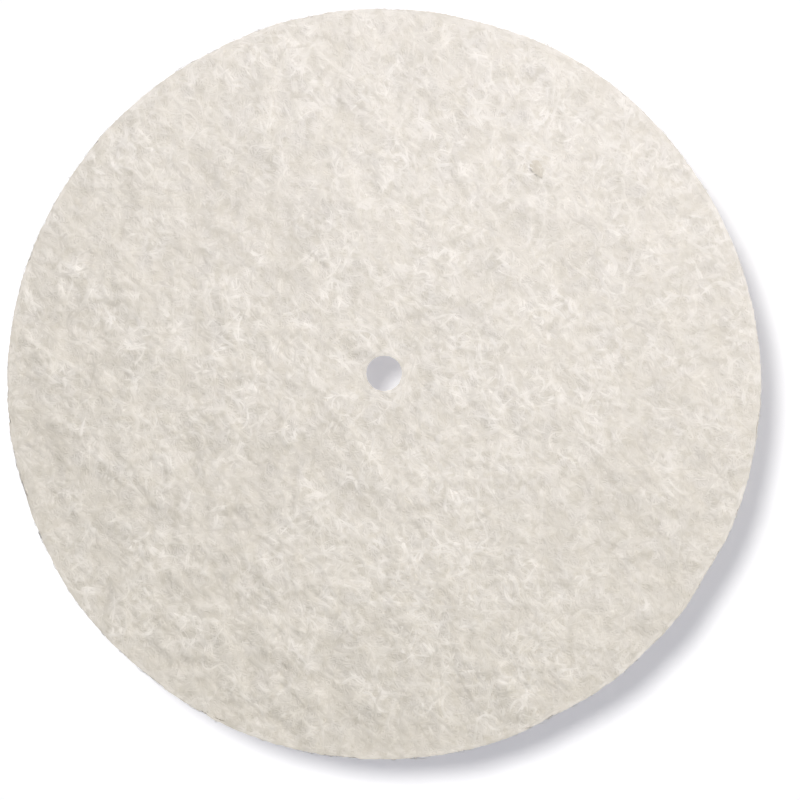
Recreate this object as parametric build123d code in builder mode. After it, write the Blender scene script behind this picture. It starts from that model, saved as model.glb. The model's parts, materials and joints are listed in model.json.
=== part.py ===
from build123d import *

import os

# A felt polishing wheel: one disc, die-cut from a sheet of pressed wool felt, with a small punched hole.
# The felt is one solid mass of matted fibre, so the wheel is a single piece.
#
# Units are millimetres. +Z runs along the hole, which is the axis that the wheel spins about, and the
# wheel lies flat on its lower face. The origin is on the hole's axis, halfway through the felt.

# Driving dimensions
wheel_diameter = 25.4  # a one inch wheel
felt_thickness = 3.2  # cut from felt an eighth of an inch thick
bore_diameter = 1.25  # pilot hole, which the screw of a mandrel spreads as it is driven in
bore_offset = 0.34  # the hole is punched this far from the rim's centre
edge_radius = 0.05  # the die leaves the rim and the hole's two mouths crisp

# Places worked out from them
lower_face = Plane.XY.offset(-felt_thickness / 2)
rim_centre = (0, -bore_offset)

# Felt wheel
with BuildPart() as felt_wheel:
    with BuildSketch(lower_face):
        with Locations(rim_centre):
            Circle(wheel_diameter / 2)
    extrude(amount=felt_thickness)
    Hole(bore_diameter / 2)
    fillet(felt_wheel.edges().filter_by(GeomType.CIRCLE), edge_radius)

felt_wheel.part.label = "felt_wheel"

os.makedirs("parts", exist_ok=True)
export_step(felt_wheel.part, "parts/felt_wheel.step")
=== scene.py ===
import json
import math
from collections import namedtuple

import bpy
import numpy as np
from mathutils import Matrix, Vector


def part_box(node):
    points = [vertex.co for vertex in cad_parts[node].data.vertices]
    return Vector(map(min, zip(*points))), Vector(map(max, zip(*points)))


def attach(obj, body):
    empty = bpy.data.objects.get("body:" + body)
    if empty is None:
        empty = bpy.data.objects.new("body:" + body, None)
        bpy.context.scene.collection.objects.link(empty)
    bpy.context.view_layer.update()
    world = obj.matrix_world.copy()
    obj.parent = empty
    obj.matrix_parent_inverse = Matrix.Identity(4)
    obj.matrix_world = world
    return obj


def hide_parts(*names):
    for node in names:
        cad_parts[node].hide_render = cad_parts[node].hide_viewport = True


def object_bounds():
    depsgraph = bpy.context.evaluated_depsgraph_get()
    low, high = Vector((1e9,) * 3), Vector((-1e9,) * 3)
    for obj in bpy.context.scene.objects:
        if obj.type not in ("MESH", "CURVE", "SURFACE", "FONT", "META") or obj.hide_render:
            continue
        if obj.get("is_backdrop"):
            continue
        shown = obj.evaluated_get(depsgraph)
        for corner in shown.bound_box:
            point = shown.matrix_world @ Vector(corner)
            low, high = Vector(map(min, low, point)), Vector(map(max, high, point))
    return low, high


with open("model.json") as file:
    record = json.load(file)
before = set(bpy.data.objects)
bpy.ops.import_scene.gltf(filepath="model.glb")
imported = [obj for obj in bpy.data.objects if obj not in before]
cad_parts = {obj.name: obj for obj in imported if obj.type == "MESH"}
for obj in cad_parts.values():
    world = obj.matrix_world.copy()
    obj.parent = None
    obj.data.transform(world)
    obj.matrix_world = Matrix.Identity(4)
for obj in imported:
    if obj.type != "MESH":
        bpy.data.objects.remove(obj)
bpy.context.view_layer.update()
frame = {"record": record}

# A felt polishing wheel of pressed wool. The wheel is one mass of matted fibre, so the looks are made the
# way the felt is: a body with a matted, cut surface, and thousands of curled wool fibres lying on and in it.
# Lengths are in metres; most are written as millimetres times MM.

MM = 0.001
TURN = 2 * math.pi

# Driving dimensions, from the frame
low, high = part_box("felt_wheel")
RIM_CENTRE = np.array([(low[0] + high[0]) / 2, (low[1] + high[1]) / 2])
RIM_RADIUS = (high[0] - low[0]) / 2
HALF_THICKNESS = (high[2] - low[2]) / 2
BORE = next(m for m in frame["record"]["mounts"] if m["name"] == "bore")
BORE_RADIUS = BORE["dims"]["r_mm"] * MM

EDGE = 0.05 * MM  # radius of the four edges that the die leaves

GRAIN = math.radians(-51)  # the fibres lie a little more often this way, seen from above
SMOOTHER_AND_SOFTER_SHADED = math.radians(45)  # the felt's relief is a little lower towards this side, and the painted shade among its fibres fainter
COARSER_AND_SHADIER = 0.27  # and by this share higher and stronger towards the other, from the middle to the rim
SINK = 0.035 * MM  # the body's faces lie this far under the CAD surface, and the fibres make up the rest
WALL_SINK = 0.045 * MM  # and the body's rim and bore this far, so that the cut faces just overhang them

# Shallow flats of the cut rim: where round the wheel, how wide, and how deep; a negative one bulges
RIM_FLATS = [
    (math.radians(-31), math.radians(6), 0.09 * MM),
    (math.radians(-62), math.radians(6), 0.09 * MM),
    (math.radians(-45), math.radians(4), 0.05 * MM),
    (math.radians(104), math.radians(32), 0.06 * MM),
    (math.radians(2), math.radians(9), -0.05 * MM),
    (math.radians(182), math.radians(14), -0.04 * MM),
]


# Random shapes

def drawn_out(axis, stretch):
    """A matrix that draws a random field out along one axis."""
    return np.eye(3) - np.outer(axis, axis) * (1 - 1 / stretch)


def waves(rng, wavelength, shape, count=48):
    """A smooth random height of unit spread, repeating about every wavelength, drawn out by the shape."""
    directions = rng.normal(size=(count, 3))
    directions /= np.linalg.norm(directions, axis=1, keepdims=True)
    numbers = directions @ shape * TURN / wavelength * rng.uniform(0.6, 1.4, (count, 1))
    phases = rng.uniform(0, TURN, count)

    def height(points):
        return np.cos(points @ numbers.T + phases).sum(axis=-1) * math.sqrt(2 / count)

    return height


ALONG_GRAIN = np.array([math.cos(GRAIN), math.sin(GRAIN), 0])
EVEN = np.eye(3)
LEVEL = np.diag([0.16, 0.16, 1.0])

shape_rng = np.random.default_rng(11)
swell = waves(shape_rng, 7 * MM, drawn_out(ALONG_GRAIN, 1.3))
clumps = waves(shape_rng, 1.9 * MM, drawn_out(ALONG_GRAIN, 1.4))
lumps = waves(shape_rng, 0.75 * MM, drawn_out(ALONG_GRAIN, 1.2))
pits = waves(shape_rng, 0.34 * MM, EVEN)
ripple = waves(shape_rng, 6 * MM, EVEN)
layers = waves(shape_rng, 0.45 * MM, LEVEL)


def coarseness_and_shade_contrast(points):
    """How coarse the felt's relief is at these points against the middle of the wheel, and how strong the
    painted shade contrast among its fibres' tones is there.
    """
    across = points[..., 0] * math.cos(SMOOTHER_AND_SOFTER_SHADED) + points[..., 1] * math.sin(SMOOTHER_AND_SOFTER_SHADED)
    return 1 - COARSER_AND_SHADIER * across / RIM_RADIUS


def face_relief(points):
    """How far the matted surface stands out from the plain faces at these points.

    It is flatter along the rim, where the die has pressed it, and underneath, where the wheel lies on it.
    """
    to_rim = RIM_RADIUS - np.hypot(points[..., 0] - RIM_CENTRE[0], points[..., 1] - RIM_CENTRE[1])
    share = np.where(points[..., 2] > 0, 1 - 0.5 * np.exp(-((to_rim / (0.5 * MM)) ** 2)), 0.3)
    broad = 0.022 * swell(points) + 0.022 * clumps(points)
    return share * coarseness_and_shade_contrast(points) * (broad + 0.014 * lumps(points) + 0.0075 * pits(points)) * MM


def cut_relief(points):
    """The same for the rim and the bore, where the die cuts through the felt's level layers."""
    return (0.005 * clumps(points) + 0.004 * lumps(points) + 0.015 * layers(points)) * MM


def painted_hollow_shade(relief):
    """Painted shade: how much darker the fibres are made where they lie low in the felt's relief."""
    return 0.2 * np.minimum(relief, 0.01 * MM) / (0.03 * MM)


def tilted(points, outward, relief):
    """The outward direction at these points, tilted by the slope of the relief there."""
    step = 0.02 * MM
    slope = np.stack(
        [(relief(points + step * axis) - relief(points - step * axis)) / (2 * step) for axis in np.eye(3)],
        axis=-1,
    )
    slope -= (slope * outward).sum(axis=-1, keepdims=True) * outward
    ups = outward - slope
    return ups / np.linalg.norm(ups, axis=-1, keepdims=True)


def rim_radius_at(angle):
    """The cut rim's radius round the wheel, with its shallow flats and a slight waver."""
    round_rim = np.stack([np.cos(angle), np.sin(angle), np.zeros_like(angle)], axis=-1) * RIM_RADIUS
    radius = RIM_RADIUS + 0.014 * MM * ripple(round_rim)
    for centre, width, depth in RIM_FLATS:
        away = (angle - centre + math.pi) % TURN - math.pi
        radius = radius - depth * np.exp(-((away / width) ** 2))
    return radius


# Meshes

def new_piece(name, points, faces, material, tones=None, normals=None):
    """A smooth-shaded mesh object that rides with the wheel and takes the felt's finish."""
    sizes = np.concatenate([np.full(len(f), f.shape[1]) for f in faces])
    corners = np.concatenate([f.ravel() for f in faces])
    mesh = bpy.data.meshes.new(name)
    mesh.vertices.add(len(points))
    mesh.vertices.foreach_set("co", points.astype(np.float32).ravel())
    mesh.loops.add(len(corners))
    mesh.loops.foreach_set("vertex_index", corners.astype(np.int32))
    mesh.polygons.add(len(sizes))
    mesh.polygons.foreach_set("loop_start", np.concatenate([[0], np.cumsum(sizes)[:-1]]).astype(np.int32))
    mesh.polygons.foreach_set("use_smooth", np.ones(len(sizes), bool))
    mesh.update(calc_edges=True)
    mesh.validate()
    if tones is not None:
        mesh.attributes.new("tone", "FLOAT", "POINT").data.foreach_set("value", tones.astype(np.float32))
    if normals is not None:
        mesh.normals_split_custom_set_from_vertices(normals)
    piece = bpy.data.objects.new(name, mesh)
    bpy.context.scene.collection.objects.link(piece)
    mesh.materials.append(material)
    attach(piece, "root")
    return piece


def profile_rings():
    """The body's rings, once round its section: share of the way out, radius, height, normal, pitch."""
    fine, coarse, wall, edge = 0.11 * MM, 0.19 * MM, 0.14 * MM, 0.035 * MM
    rings = []

    def arc(centre_r, centre_z, radius, start, end, pitch, share):
        steps = max(3, round(math.radians(abs(end - start)) * radius / pitch))
        for angle in np.radians(np.linspace(start, end, steps + 1)):
            out, up = math.cos(angle), math.sin(angle)
            rings.append((share, centre_r + radius * out, centre_z + radius * up, out, up, pitch))

    def face(start_r, end_r, z, up, pitch):
        steps = round(abs(end_r - start_r) / (pitch * 0.9))
        for r in np.linspace(start_r, end_r, steps + 1)[1:-1]:
            rings.append(((r - BORE_RADIUS) / (RIM_RADIUS - BORE_RADIUS), r, z, 0, up, pitch))

    def wall_rings(r, start_z, end_z, out, pitch, share):
        steps = round(abs(end_z - start_z) / (pitch * 0.9))
        for z in np.linspace(start_z, end_z, steps + 1)[1:-1]:
            rings.append((share, r, z, out, 0, pitch))

    top, inner, outer = HALF_THICKNESS - EDGE, BORE_RADIUS + EDGE, RIM_RADIUS - EDGE
    wall_rings(BORE_RADIUS, -top, top, -1, wall, 0)
    arc(inner, top, EDGE, 180, 90, edge, 0)
    face(inner, outer, HALF_THICKNESS, 1, fine)
    arc(outer, top, EDGE, 90, 0, edge, 1)
    wall_rings(RIM_RADIUS, top, -top, 1, wall, 1)
    arc(outer, -top, EDGE, 0, -90, edge, 1)
    face(outer, inner, -HALF_THICKNESS, -1, coarse)
    arc(inner, -top, EDGE, -90, -180, edge, 0)
    return rings


def ring_points(share, radius, z, out, up, pitch):
    """One ring of the body, wavering with the rim in its outer part and sunk a little under the fibres."""
    count = max(40, round(TURN * radius / pitch))
    angle = np.arange(count) * TURN / count
    along = np.stack([np.cos(angle), np.sin(angle)], axis=-1)
    waver = (rim_radius_at(angle) - RIM_RADIUS) * share**3
    plain = np.column_stack([along * (radius + waver)[:, None] + share * RIM_CENTRE, np.full(count, z)])
    normal = np.column_stack([along * out, np.full(count, float(up))])
    depth = (face_relief(plain) - SINK) * abs(up) + (cut_relief(plain) - WALL_SINK) * (1 - abs(up))
    if up < 0:
        depth = np.minimum(depth, -0.01 * MM)
    return plain + normal * depth[:, None]


def zip_rings(first, first_count, second, second_count):
    """Triangles between two rings of any two counts of points, taken round the wheel together."""
    faces = []
    i = j = 0
    while i < first_count or j < second_count:
        a, b = first + i % first_count, second + j % second_count
        if j == second_count or (i < first_count and (i + 1) * second_count <= (j + 1) * first_count):
            faces.append((a, b, first + (i + 1) % first_count))
            i += 1
        else:
            faces.append((a, b, second + (j + 1) % second_count))
            j += 1
    return faces


def make_body(material):
    """The felt itself: one closed skin round the wheel's section and through its bore."""
    rings = [ring_points(*ring) for ring in profile_rings()]
    starts = np.concatenate([[0], np.cumsum([len(r) for r in rings])])
    faces = []
    for k in range(len(rings)):
        after = (k + 1) % len(rings)
        faces += zip_rings(starts[k], len(rings[k]), starts[after], len(rings[after]))
    return new_piece("felt_body", np.concatenate(rings), [np.array(faces)], material)


# Fibres

# A kind of fibre: the number of wisps, the strands in each and how far apart they run, the points along a
# strand, the ranges of its length, radius and level over the felt, how far it weaves up and down, how far a
# loose one arches off the felt, the spread of its headings in radians, the radius it curls to, how much of
# its run across the grain is kept, and the range of its tone.
Fibres = namedtuple(
    "Fibres", "wisps strands apart steps lengths radii levels weave loose spread bend across tones"
)

# A surface that fibres lie on, in two coordinates: the heading of its grain, random spots on it, whether a
# point is inside its edges, and its place: the points, outward, the way the felt's own relief faces, how far
# that relief stands out, and what it adds to a fibre's tone.
# On the faces the tone a surface adds is painted shade in the felt's low parts; on the walls it follows the
# layers' relief.
Surface = namedtuple("Surface", "grain spots inside place")

FLATTEN = 0.4  # a fibre's height, as a share of its width
LEAN = 8.0  # how far a fibre's shading leans from its own round side to the surface it lies on
LIT_THROUGH = 0.35  # how far a loose fibre's shading leans up, because light from above passes through it
WALL_MARGIN = 0.09 * MM  # the cut walls' own fibres keep this far from the two faces
EDGE_STRIP = 0.14 * MM  # width of the strip beside a cut edge that is laid with fibres of its own
MOUTH_REACH = 0.02 * MM  # those round the bore's mouth reach this far into it


def curl_paths(rng, count, steps, shortest, longest, lean, spread, bend):
    """Flat centre lines of wool fibres, of varied length, turning this way and that as crimped wool does.

    Most curve about as tightly as a circle whose radius is the bend.
    """
    along = np.linspace(0, 1, steps)[None, :]
    length = shortest + (longest - shortest) * rng.beta(1.3, 2.4, (count, 1))
    heading = lean + spread * rng.normal(size=(count, 1)) + math.pi * rng.integers(0, 2, (count, 1))
    arc = rng.normal(size=(count, 1)) * length / bend
    crimp = rng.uniform(0.2, 1.0, (count, 1))
    crimp_waves = length / (rng.uniform(1.0, 2.6, (count, 1)) * MM)
    heading = (
        heading
        + arc * (along - 0.5)
        + crimp * np.sin(TURN * (crimp_waves * along + rng.uniform(0, 1, (count, 1))))
    )
    step = length / (steps - 1)
    u = np.cumsum(np.cos(heading), axis=1) * step
    v = np.cumsum(np.sin(heading), axis=1) * step
    return u - u.mean(axis=1, keepdims=True), v - v.mean(axis=1, keepdims=True)


def in_wisps(rng, u, v, strands, apart):
    """Repeats each centre line as a wisp of several fibres, which splay and cross as they run together."""
    along = np.linspace(0, 1, u.shape[1])[None, :]
    u, v = np.repeat(u, strands, axis=0), np.repeat(v, strands, axis=0)
    ahead_u, ahead_v = np.gradient(u, axis=1), np.gradient(v, axis=1)
    size = np.hypot(ahead_u, ahead_v)
    start, end = rng.normal(size=(2, len(u), 1)) * apart
    shift = (start * (1 - along) + end * along) / size
    slide = rng.normal(size=(len(u), 1)) * apart * 3 / size
    return u - ahead_v * shift + ahead_u * slide, v + ahead_u * shift + ahead_v * slide


def cut_paths(u, v, inside):
    """Cuts each fibre to its longest stretch of inside points, as the die cuts them, and drops the stubs.

    Gives the cut paths and which fibre each one was.
    """
    steps = u.shape[1]
    kept = []
    for i in range(len(u)):
        if inside[i].all():
            kept.append((u[i], v[i], i))
            continue
        edges = np.flatnonzero(np.diff(np.concatenate([[0], inside[i].astype(int), [0]])))
        if not len(edges):
            continue
        runs = edges.reshape(-1, 2)
        start, stop = runs[np.argmax(runs[:, 1] - runs[:, 0])]
        if stop - start < 4:
            continue
        at = np.linspace(start, stop - 1, steps)
        kept.append((np.interp(at, np.arange(steps), u[i]), np.interp(at, np.arange(steps), v[i]), i))
    return tuple(np.array(column) for column in zip(*kept))


def tubes(paths, ups, radii, flatten=FLATTEN):
    """Closed three-sided tubes along the paths, a little flattened, whose shading leans to the felt's own.

    Wool lets light through, so a fibre's sides are nearly as bright as its top.
    """
    count, steps = paths.shape[:2]
    ahead = np.gradient(paths, axis=1)
    ahead /= np.linalg.norm(ahead, axis=2, keepdims=True) + 1e-12
    side = np.cross(ahead, ups)
    side /= np.linalg.norm(side, axis=2, keepdims=True) + 1e-12
    up = np.cross(side, ahead)
    corners, leans = [], []
    for k in range(3):
        angle = TURN * (k / 3 + 0.25)
        out = side * math.cos(angle) + up * math.sin(angle) * flatten
        corners.append(paths + out * radii[..., None])
        leans.append(out + ups * LEAN)
    points = np.stack(corners, axis=2).reshape(-1, 3)
    normals = np.stack(leans, axis=2).reshape(-1, 3)
    normals /= np.linalg.norm(normals, axis=1, keepdims=True)
    first = (np.arange(count) * steps * 3)[:, None, None] + (np.arange(steps - 1) * 3)[None, :, None]
    k, after = np.arange(3), (np.arange(3) + 1) % 3
    quads = np.stack([first + k, first + 3 + k, first + 3 + after, first + after], axis=-1).reshape(-1, 4)
    starts = np.arange(count) * steps * 3
    ends = starts + (steps - 1) * 3
    caps = np.concatenate(
        [np.stack([starts, starts + 1, starts + 2], axis=-1), np.stack([ends + 2, ends + 1, ends], axis=-1)]
    )
    return points, [quads, caps], normals


def thickness(rng, count, steps, thin, thick):
    """Radii along fibres, a little uneven and pinched towards the tips."""
    along = np.linspace(0, 1, steps)[None, :]
    tips = 0.35 + 0.65 * np.sin(math.pi * along) ** 0.4
    uneven = 1 + 0.12 * np.sin(TURN * (2.3 * along + rng.uniform(0, 1, (count, 1))))
    return rng.uniform(thin, thick, (count, 1)) * tips * uneven


def lifts(rng, kind, which):
    """How high fibres lie over the felt along their length, weaving up and down with both ends tucked in."""
    count = len(which)
    along = np.linspace(0, 1, kind.steps)[None, :]
    level = rng.uniform(*kind.levels, (kind.wisps, 1))[which // kind.strands]
    level = level + rng.normal(size=(count, 1)) * 0.006 * MM
    turns = rng.uniform(0.5, 2.0, (count, 1)) * along + rng.uniform(0, 1, (count, 1))
    tuck = np.abs(2 * along - 1) ** 5 * rng.uniform(0.02, 0.07, (count, 1)) * MM
    arch = rng.beta(1.2, 3.0, (count, 1)) * np.sin(math.pi * along ** rng.uniform(0.6, 1.8, (count, 1)))
    return level + kind.weave * np.sin(TURN * turns) - tuck + kind.loose * arch


def rolled(distance):
    """How far a surface drops where it rolls over an edge, at this distance from the edge."""
    run = np.clip(1 - distance / EDGE, 0, 1)
    return EDGE * (1 - np.sqrt(1 - run**2))


def upright(points, side):
    """Straight up for the upper face, side 1, and straight down for the lower one, side -1."""
    outward = np.zeros_like(points)
    outward[..., 2] = side
    return outward


def on_face(points, side):
    """What a Surface's place gives at these points of a face."""
    outward = upright(points, side)
    relief = face_relief(points)
    # the tone it adds is painted shade, darker where the relief lies low
    return points, outward, tilted(points, outward, face_relief), relief, painted_hollow_shade(relief)


def face_surface(side):
    """The upper face, side 1, or the lower face, side -1, in x and y."""

    def to_edges(x, y):
        out_x, out_y = x - RIM_CENTRE[0], y - RIM_CENTRE[1]
        to_rim = rim_radius_at(np.arctan2(out_y, out_x)) - np.hypot(out_x, out_y)
        return to_rim, np.hypot(x, y) - BORE_RADIUS

    def spots(rng, count):
        radius = (RIM_RADIUS + 0.4 * MM) * np.sqrt(rng.uniform(0, 1, (count, 1)))
        angle = rng.uniform(0, TURN, (count, 1))
        return RIM_CENTRE[0] + radius * np.cos(angle), RIM_CENTRE[1] + radius * np.sin(angle)

    def inside(x, y):
        to_rim, to_bore = to_edges(x, y)
        return (to_rim > 0) & (to_bore > 0)

    def place(x, y):
        to_rim, to_bore = to_edges(x, y)
        drop = rolled(to_rim) + rolled(to_bore)
        return on_face(np.stack([x, y, side * (HALF_THICKNESS - drop)], axis=-1), side)

    return Surface(GRAIN, spots, inside, place)


def wall_surface(bore):
    """The rim's wall, or the bore's: round it, and up it. Its fibres lie level, as they do in the sheet."""
    around = BORE_RADIUS if bore else RIM_RADIUS

    def spots(rng, count):
        return rng.uniform(0, TURN * around, (count, 1)), rng.uniform(-1, 1, (count, 1)) * HALF_THICKNESS

    def inside(along, height):
        return np.abs(height) < HALF_THICKNESS - WALL_MARGIN

    def place(along, height):
        angle = along / around
        out = np.stack([np.cos(angle), np.sin(angle), np.zeros_like(angle)], axis=-1)
        points = out * BORE_RADIUS if bore else out * rim_radius_at(angle)[..., None]
        points[..., :2] += 0 if bore else RIM_CENTRE
        points[..., 2] = height
        outward = -out if bore else out
        return points, outward, tilted(points, outward, cut_relief), cut_relief(points), 0.4 * layers(points)

    return Surface(0, spots, inside, place)


def edge_surface(side, bore):
    """The strip of a face next to the rim or the bore: round it, and away from the cut edge."""
    around = BORE_RADIUS if bore else RIM_RADIUS

    def spots(rng, count):
        return rng.uniform(0, TURN * around, (count, 1)), EDGE_STRIP * rng.uniform(0, 1, (count, 1)) ** 3

    def inside(along, inward):
        return inward > 0

    def place(along, inward):
        angle = along / around
        radius = BORE_RADIUS - MOUTH_REACH + inward if bore else rim_radius_at(angle) - inward
        x, y = radius * np.cos(angle), radius * np.sin(angle)
        if not bore:
            x, y = x + RIM_CENTRE[0], y + RIM_CENTRE[1]
        return on_face(np.stack([x, y, side * (HALF_THICKNESS - rolled(inward))], axis=-1), side)

    return Surface(0, spots, inside, place)


def lay_fibres(name, seed, surface, kind, material):
    """One mesh of fibres on a surface. Wisps differ in tone, and so, a little, do the fibres in a wisp."""
    rng = np.random.default_rng(seed)
    u, v = curl_paths(rng, kind.wisps, kind.steps, *kind.lengths, surface.grain, kind.spread, kind.bend)
    spot_u, spot_v = surface.spots(rng, kind.wisps)
    u, v = in_wisps(rng, u + spot_u, v * kind.across + spot_v, kind.strands, kind.apart)
    u, v, which = cut_paths(u, v, surface.inside(u, v))
    points, outward, ups, relief, tones = surface.place(u, v)
    lift = lifts(rng, kind, which) + relief
    if outward[0, 0, 2] < 0:
        lift = np.minimum(lift, 0)
    if kind.loose:
        ups = ups + LIT_THROUGH * upright(points, 1)
    radii = thickness(rng, *u.shape, *kind.radii)
    corners, faces, normals = tubes(points + outward * lift[..., None], ups, radii)
    wisp_tone = rng.uniform(*kind.tones, kind.wisps)[which // kind.strands]
    tone = (wisp_tone + rng.normal(size=len(which)) * 0.06)[:, None] + tones
    # Painted shade: the spread of the fibres' tones narrows towards the smoother side, standing for fainter
    # shading there.
    tone = 0.5 + (tone - 0.5) * coarseness_and_shade_contrast(points)
    piece = new_piece(name, corners, faces, material, np.repeat(np.clip(tone, 0, 1).ravel(), 3), normals)
    piece.visible_shadow = False  # wool fibres let light through
    return piece


# Materials

def felt_nodes(name):
    """A bare felt material: its node tree, its shader, and its coordinates in millimetres."""
    material = bpy.data.materials.new(name)
    material.use_nodes = True
    tree = material.node_tree
    shader = tree.nodes["Principled BSDF"]
    shader.inputs["Roughness"].default_value = 0.92
    shader.inputs["Specular IOR Level"].default_value = 0.25
    shader.inputs["Sheen Weight"].default_value = 0.1
    shader.inputs["Sheen Roughness"].default_value = 0.6
    shader.inputs["Sheen Tint"].default_value = (1.0, 0.97, 0.93, 1)
    place = tree.nodes.new("ShaderNodeTexCoord")
    scaled = tree.nodes.new("ShaderNodeMapping")
    scaled.inputs["Scale"].default_value = (1 / MM, 1 / MM, 1 / MM)
    tree.links.new(place.outputs["Object"], scaled.inputs["Vector"])
    return material, tree, shader, scaled.outputs["Vector"]


def noise(tree, where, pitch, detail=2.0, distortion=0.0):
    """A noise whose blobs are about one pitch across, in millimetres."""
    node = tree.nodes.new("ShaderNodeTexNoise")
    node.inputs["Scale"].default_value = 1 / pitch
    node.inputs["Detail"].default_value = detail
    node.inputs["Distortion"].default_value = distortion
    tree.links.new(where, node.inputs["Vector"])
    return node


def maths(tree, operation, first, second=None):
    """One Math node; each operand is a socket or a number."""
    node = tree.nodes.new("ShaderNodeMath")
    node.operation = operation
    for socket, value in zip(node.inputs, (first, second)):
        if isinstance(value, (int, float)):
            socket.default_value = value
        elif value is not None:
            tree.links.new(value, socket)
    return node.outputs[0]


def mix_colours(tree, share, first, second):
    """A mix of two colours, each a socket or an RGB triple."""
    node = tree.nodes.new("ShaderNodeMix")
    node.data_type = "RGBA"
    tree.links.new(share, node.inputs["Factor"])
    for socket, value in ((node.inputs[6], first), (node.inputs[7], second)):
        if isinstance(value, tuple):
            socket.default_value = (*value, 1)
        else:
            tree.links.new(value, socket)
    return node.outputs[2]


def blotched_and_shaded(tree, where, colour):
    """The colour with darker ochre specks and patches of three sizes: partly the felt's own tone, partly
    painted shade of its pits and relief.
    """
    specks = (0.28, 0.5, 0.66, 0.42, (0.55, 0.51, 0.43))
    # painted shade: darker patches standing for the shade in the felt's low parts
    painted_shade_patches = (0.55, 0.4, 0.65, 0.4, (0.66, 0.62, 0.545))
    patches = (1.3, 0.4, 0.65, 0.4, (0.69, 0.645, 0.57))
    for pitch, least, full, most, tint in (specks, painted_shade_patches, patches):
        spread = tree.nodes.new("ShaderNodeMapRange")
        spread.inputs["From Min"].default_value = least
        spread.inputs["From Max"].default_value = full
        spread.inputs["To Max"].default_value = most
        tree.links.new(noise(tree, where, pitch, detail=1.0).outputs["Fac"], spread.inputs["Value"])
        colour = mix_colours(tree, spread.outputs["Result"], colour, tint)
    return colour


def threads(tree, where, pitch, width):
    """Thin winding lines, white on black, where a smooth noise crosses its middle value."""
    field = noise(tree, where, pitch, detail=1.0, distortion=0.4).outputs["Fac"]
    away = maths(tree, "ABSOLUTE", maths(tree, "SUBTRACT", field, 0.5))
    return maths(tree, "SUBTRACT", 1.0, maths(tree, "MINIMUM", maths(tree, "DIVIDE", away, width), 1.0))


def felt_body_material():
    """Matted wool in the depth of the felt: winding fibres over darker patches, the whole a little darker
    than the fibres on it as painted shade of that depth.
    """
    material, tree, shader, where = felt_nodes("matted_wool")
    crossing = None
    for pitch, width in ((0.55, 0.05), (0.34, 0.06), (0.21, 0.08)):
        layer = threads(tree, where, pitch, width)
        crossing = layer if crossing is None else maths(tree, "MAXIMUM", crossing, layer)
    # Painted shade: broad darker patches standing for the felt's low parts.
    painted_shade_patches = noise(tree, where, 1.4, detail=3.0).outputs["Fac"]
    share = maths(tree, "MULTIPLY", maths(tree, "ADD", maths(tree, "MULTIPLY", crossing, 0.6), painted_shade_patches), 0.7)
    # darker than the fibres' range, partly as painted shade of the depth
    wool = mix_colours(tree, share, (0.66, 0.62, 0.56), (0.76, 0.72, 0.665))
    tree.links.new(blotched_and_shaded(tree, where, wool), shader.inputs["Base Color"])
    bump = tree.nodes.new("ShaderNodeBump")
    bump.inputs["Strength"].default_value = 0.5
    bump.inputs["Distance"].default_value = 0.02 * MM
    tree.links.new(crossing, bump.inputs["Height"])
    tree.links.new(bump.outputs["Normal"], shader.inputs["Normal"])
    rough = maths(tree, "MULTIPLY_ADD", crossing, -0.12)
    rough.node.inputs[2].default_value = 0.97
    tree.links.new(rough, shader.inputs["Roughness"])
    return material


def fibre_material():
    """Single wool fibres, each a little lighter or yellower than the next, and darker as painted shade where
    they lie low in the felt.
    """
    material, tree, shader, where = felt_nodes("wool_fibre")
    tone = tree.nodes.new("ShaderNodeAttribute")
    tone.attribute_name = "tone"
    wool = mix_colours(tree, tone.outputs["Fac"], (0.68, 0.64, 0.58), (0.85, 0.81, 0.753))
    tree.links.new(blotched_and_shaded(tree, where, wool), shader.inputs["Base Color"])
    return material


def straw_material():
    """Dull yellow straw, streaked light and dark."""
    material, tree, shader, where = felt_nodes("straw")
    streaks = noise(tree, where, 0.12, detail=2.0).outputs["Fac"]
    straw = mix_colours(tree, streaks, (0.55, 0.50, 0.42), (0.70, 0.65, 0.565))
    tree.links.new(straw, shader.inputs["Base Color"])
    return material


def make_fleck(material):
    """A flake of straw caught in the wool: pointed at one end, keeled, and lying among the top fibres."""
    middle_x, middle_y, heading = 5.15 * MM, 6.95 * MM, math.radians(-62)
    length, tip, half_width, raised = 0.66 * MM, 0.02 * MM, 0.21 * MM, 0.006 * MM
    along = np.linspace(0, 1, 12)
    run = length * (along - 0.4)
    x, y = middle_x + run * math.cos(heading), middle_y + run * math.sin(heading)
    points, outward, ups, relief, _ = face_surface(1).place(x[None, :], y[None, :])
    points = points + outward * (relief + raised)[..., None]
    radii = tip + half_width * np.sin(math.pi * along**0.6) ** 0.9
    corners, faces, normals = tubes(points, ups, radii[None, :], flatten=0.1)
    new_piece("straw_fleck", corners, faces, material, normals=normals)


# The wheel, from its body outwards: matted fibres lie in the felt, strands on them, then curls and loose nap

body_wool = felt_body_material()
fibre_wool = fibre_material()

body = make_body(body_wool)
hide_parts("felt_wheel")

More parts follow.
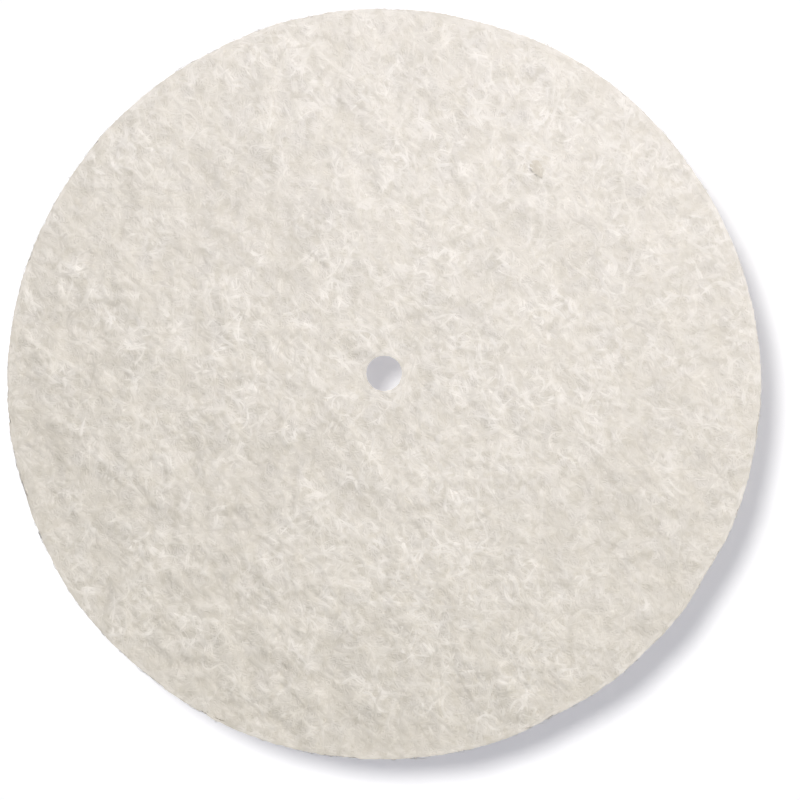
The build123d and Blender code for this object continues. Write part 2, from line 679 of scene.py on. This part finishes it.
MAT = Fibres(
    wisps=1730, strands=3, apart=0.03 * MM, steps=7, lengths=(0.3 * MM, 1.5 * MM),
    radii=(0.023 * MM, 0.040 * MM), levels=(-0.04 * MM, 0.0), weave=0.010 * MM, loose=0, spread=0.7,
    bend=1.5 * MM, across=1, tones=(0.05, 0.95),
)
STRANDS = MAT._replace(
    wisps=560, apart=0.025 * MM, steps=14, lengths=(0.8 * MM, 2.6 * MM), radii=(0.020 * MM, 0.034 * MM),
    levels=(-0.02 * MM, 0.005 * MM), weave=0.008 * MM, tones=(0.3, 0.95),
)
CURLS = STRANDS._replace(
    wisps=420, strands=1, apart=0, steps=16, lengths=(0.6 * MM, 2.0 * MM), radii=(0.020 * MM, 0.032 * MM),
    levels=(-0.01 * MM, 0.01 * MM), loose=0.05 * MM, spread=1.2, bend=0.6 * MM, tones=(0.6, 0.88),
)
NAP = CURLS._replace(
    wisps=1300, steps=12, lengths=(0.5 * MM, 2.0 * MM), radii=(0.008 * MM, 0.013 * MM), weave=0.02 * MM,
    loose=0.5 * MM, spread=1.5, bend=1.2 * MM, tones=(0.35, 0.8),
)
WALL_MAT = MAT._replace(
    wisps=1100, apart=0.035 * MM, steps=10, lengths=(0.4 * MM, 2.0 * MM), radii=(0.016 * MM, 0.028 * MM),
    levels=(-0.05 * MM, -0.025 * MM), spread=0.35, across=0.7, tones=(0.0, 1.0),
)
WALL_NAP = NAP._replace(
    wisps=3200, steps=10, lengths=(0.3 * MM, 1.4 * MM), levels=(-0.045 * MM, -0.03 * MM), loose=0.12 * MM,
    tones=(0.5, 1.0),
)
EDGE_MAT = WALL_MAT._replace(wisps=640, levels=(-0.02 * MM, 0.0), spread=0.25, across=0.4, tones=(0.2, 0.9))
LOWER_MAT = MAT._replace(levels=(-0.06 * MM, -0.02 * MM))
BORE_MAT = WALL_MAT._replace(wisps=140, lengths=(0.3 * MM, 0.9 * MM), levels=(-0.07 * MM, -0.045 * MM))
MOUTH_MAT = EDGE_MAT._replace(wisps=150, lengths=(0.3 * MM, 0.9 * MM))

for index in range(4):
    lay_fibres(f"upper_mat_{index + 1}", 100 + index, face_surface(1), MAT, fibre_wool)
for index in range(2):
    lay_fibres(f"upper_strands_{index + 1}", 200 + index, face_surface(1), STRANDS, fibre_wool)
make_fleck(straw_material())
lay_fibres("upper_curls", 300, face_surface(1), CURLS, fibre_wool)
lay_fibres("upper_nap", 350, face_surface(1), NAP, fibre_wool)
for index in range(3):
    lay_fibres(f"rim_mat_{index + 1}", 400 + index, wall_surface(False), WALL_MAT, fibre_wool)
lay_fibres("rim_nap", 440, wall_surface(False), WALL_NAP, fibre_wool)
lay_fibres("bore_mat", 450, wall_surface(True), BORE_MAT, fibre_wool)
edges = ((1, False, EDGE_MAT), (-1, False, EDGE_MAT), (1, True, MOUTH_MAT))
for index, (side, bore, kind) in enumerate(edges):
    lay_fibres(f"edge_mat_{index + 1}", 470 + index, edge_surface(side, bore), kind, fibre_wool)
for index in range(2):
    lay_fibres(f"lower_mat_{index + 1}", 500 + index, face_surface(-1), LOWER_MAT, fibre_wool)


# Floor, light and camera

def make_floor():
    """A plain white sweep: the surface that the wheel lies on, curving up into a wall a long way off."""
    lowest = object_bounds()[0].z
    flat, bend, height, sides = 0.8, 0.08, 0.1, 96
    curve = [(flat + bend * math.sin(a), bend - bend * math.cos(a)) for a in np.linspace(0, math.pi / 2, 17)]
    profile = curve + [(flat + bend, height)]
    points = [
        (radius * math.cos(TURN * k / sides), radius * math.sin(TURN * k / sides), lowest + up)
        for radius, up in profile
        for k in range(sides)
    ]
    faces = [tuple(range(sides))]
    for ring in range(len(profile) - 1):
        for k in range(sides):
            after = (k + 1) % sides
            corners = ((0, k), (1, k), (1, after), (0, after))
            faces.append(tuple(sides * (ring + step) + at for step, at in corners))
    mesh = bpy.data.meshes.new("floor")
    mesh.from_pydata(points, [], faces)
    mesh.polygons.foreach_set("use_smooth", [True] * len(faces))
    floor = bpy.data.objects.new("floor", mesh)
    bpy.context.scene.collection.objects.link(floor)
    material = bpy.data.materials.new("white_paper")
    material.use_nodes = True
    shader = material.node_tree.nodes["Principled BSDF"]
    shader.inputs["Base Color"].default_value = (0.94, 0.94, 0.945, 1)
    shader.inputs["Emission Color"].default_value = (0.89, 0.90, 1.0, 1)
    shader.inputs["Emission Strength"].default_value = 0.385
    shader.inputs["Roughness"].default_value = 0.9
    shader.inputs["Specular IOR Level"].default_value = 0.2
    mesh.materials.append(material)
    floor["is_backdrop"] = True
    return floor


def make_light(kind, name, tilt, azimuth, distance, strength, colour, pieces):
    """A light on these pieces only, tilted from straight overhead towards an azimuth measured from +X."""
    lamp = bpy.data.lights.new(name, kind)
    lamp.energy = strength
    lamp.color = colour
    light = bpy.data.objects.new(name, lamp)
    tilt, azimuth = math.radians(tilt), math.radians(azimuth)
    back = Vector((math.sin(tilt) * math.cos(azimuth), math.sin(tilt) * math.sin(azimuth), math.cos(tilt)))
    light.location = back * distance
    light.rotation_mode = "QUATERNION"
    light.rotation_quaternion = (-back).to_track_quat("-Z", "Y")
    light.visible_camera = False
    bpy.context.scene.collection.objects.link(light)
    group = bpy.data.collections.new(f"lit_by_{name}")
    for piece in pieces:
        group.objects.link(piece)
    light.light_linking.receiver_collection = group
    return lamp


def make_lights(pieces, floor):
    """Soft light from the upper right and overhead on the wheel, and from the upper left on the floor."""
    studio = make_light("AREA", "studio", 35, 35, 0.30, 0.46, (0.995, 0.98, 0.895), pieces)
    near = make_light("AREA", "near", 27, 67, 0.050, 0.0105, (0.995, 1.0, 1.19), pieces)
    overhead = make_light("AREA", "overhead", 0, 0, 0.30, 0.30, (0.98, 0.98, 0.895), pieces)
    for lamp, size in ((studio, 0.20), (near, 0.030), (overhead, 0.40)):
        lamp.shape = "DISK"
        lamp.size = size
    sun = make_light("SUN", "sun", 19.5, 137, 0.30, 2.1, (1.0, 0.99, 0.97), [floor])
    sun.angle = math.radians(15)
    world = bpy.data.worlds.new("room")
    world.use_nodes = True
    world.node_tree.nodes["Background"].inputs["Color"].default_value = (0.98, 0.98, 0.96, 1)
    world.node_tree.nodes["Background"].inputs["Strength"].default_value = 0.07
    bpy.context.scene.world = world


def make_camera():
    """A long lens straight over the wheel, a little to the right of and below its middle."""
    camera_data = bpy.data.cameras.new("camera")
    camera_data.lens = 400
    camera_data.sensor_width = 36
    camera_data.clip_start = 0.01
    view_width = RIM_RADIUS * 2 / 0.94
    aside, down = view_width * 0.02, view_width * 0.0208
    camera = bpy.data.objects.new("camera", camera_data)
    height = HALF_THICKNESS + view_width * camera_data.lens / camera_data.sensor_width
    camera.location = (RIM_CENTRE[0] + aside, RIM_CENTRE[1] - down, height)
    bpy.context.scene.collection.objects.link(camera)
    bpy.context.scene.camera = camera


wheel_pieces = [o for o in bpy.data.objects if o.type == "MESH"]
make_lights(wheel_pieces, make_floor())
make_camera()
bpy.context.scene.view_settings.view_transform = "Standard"
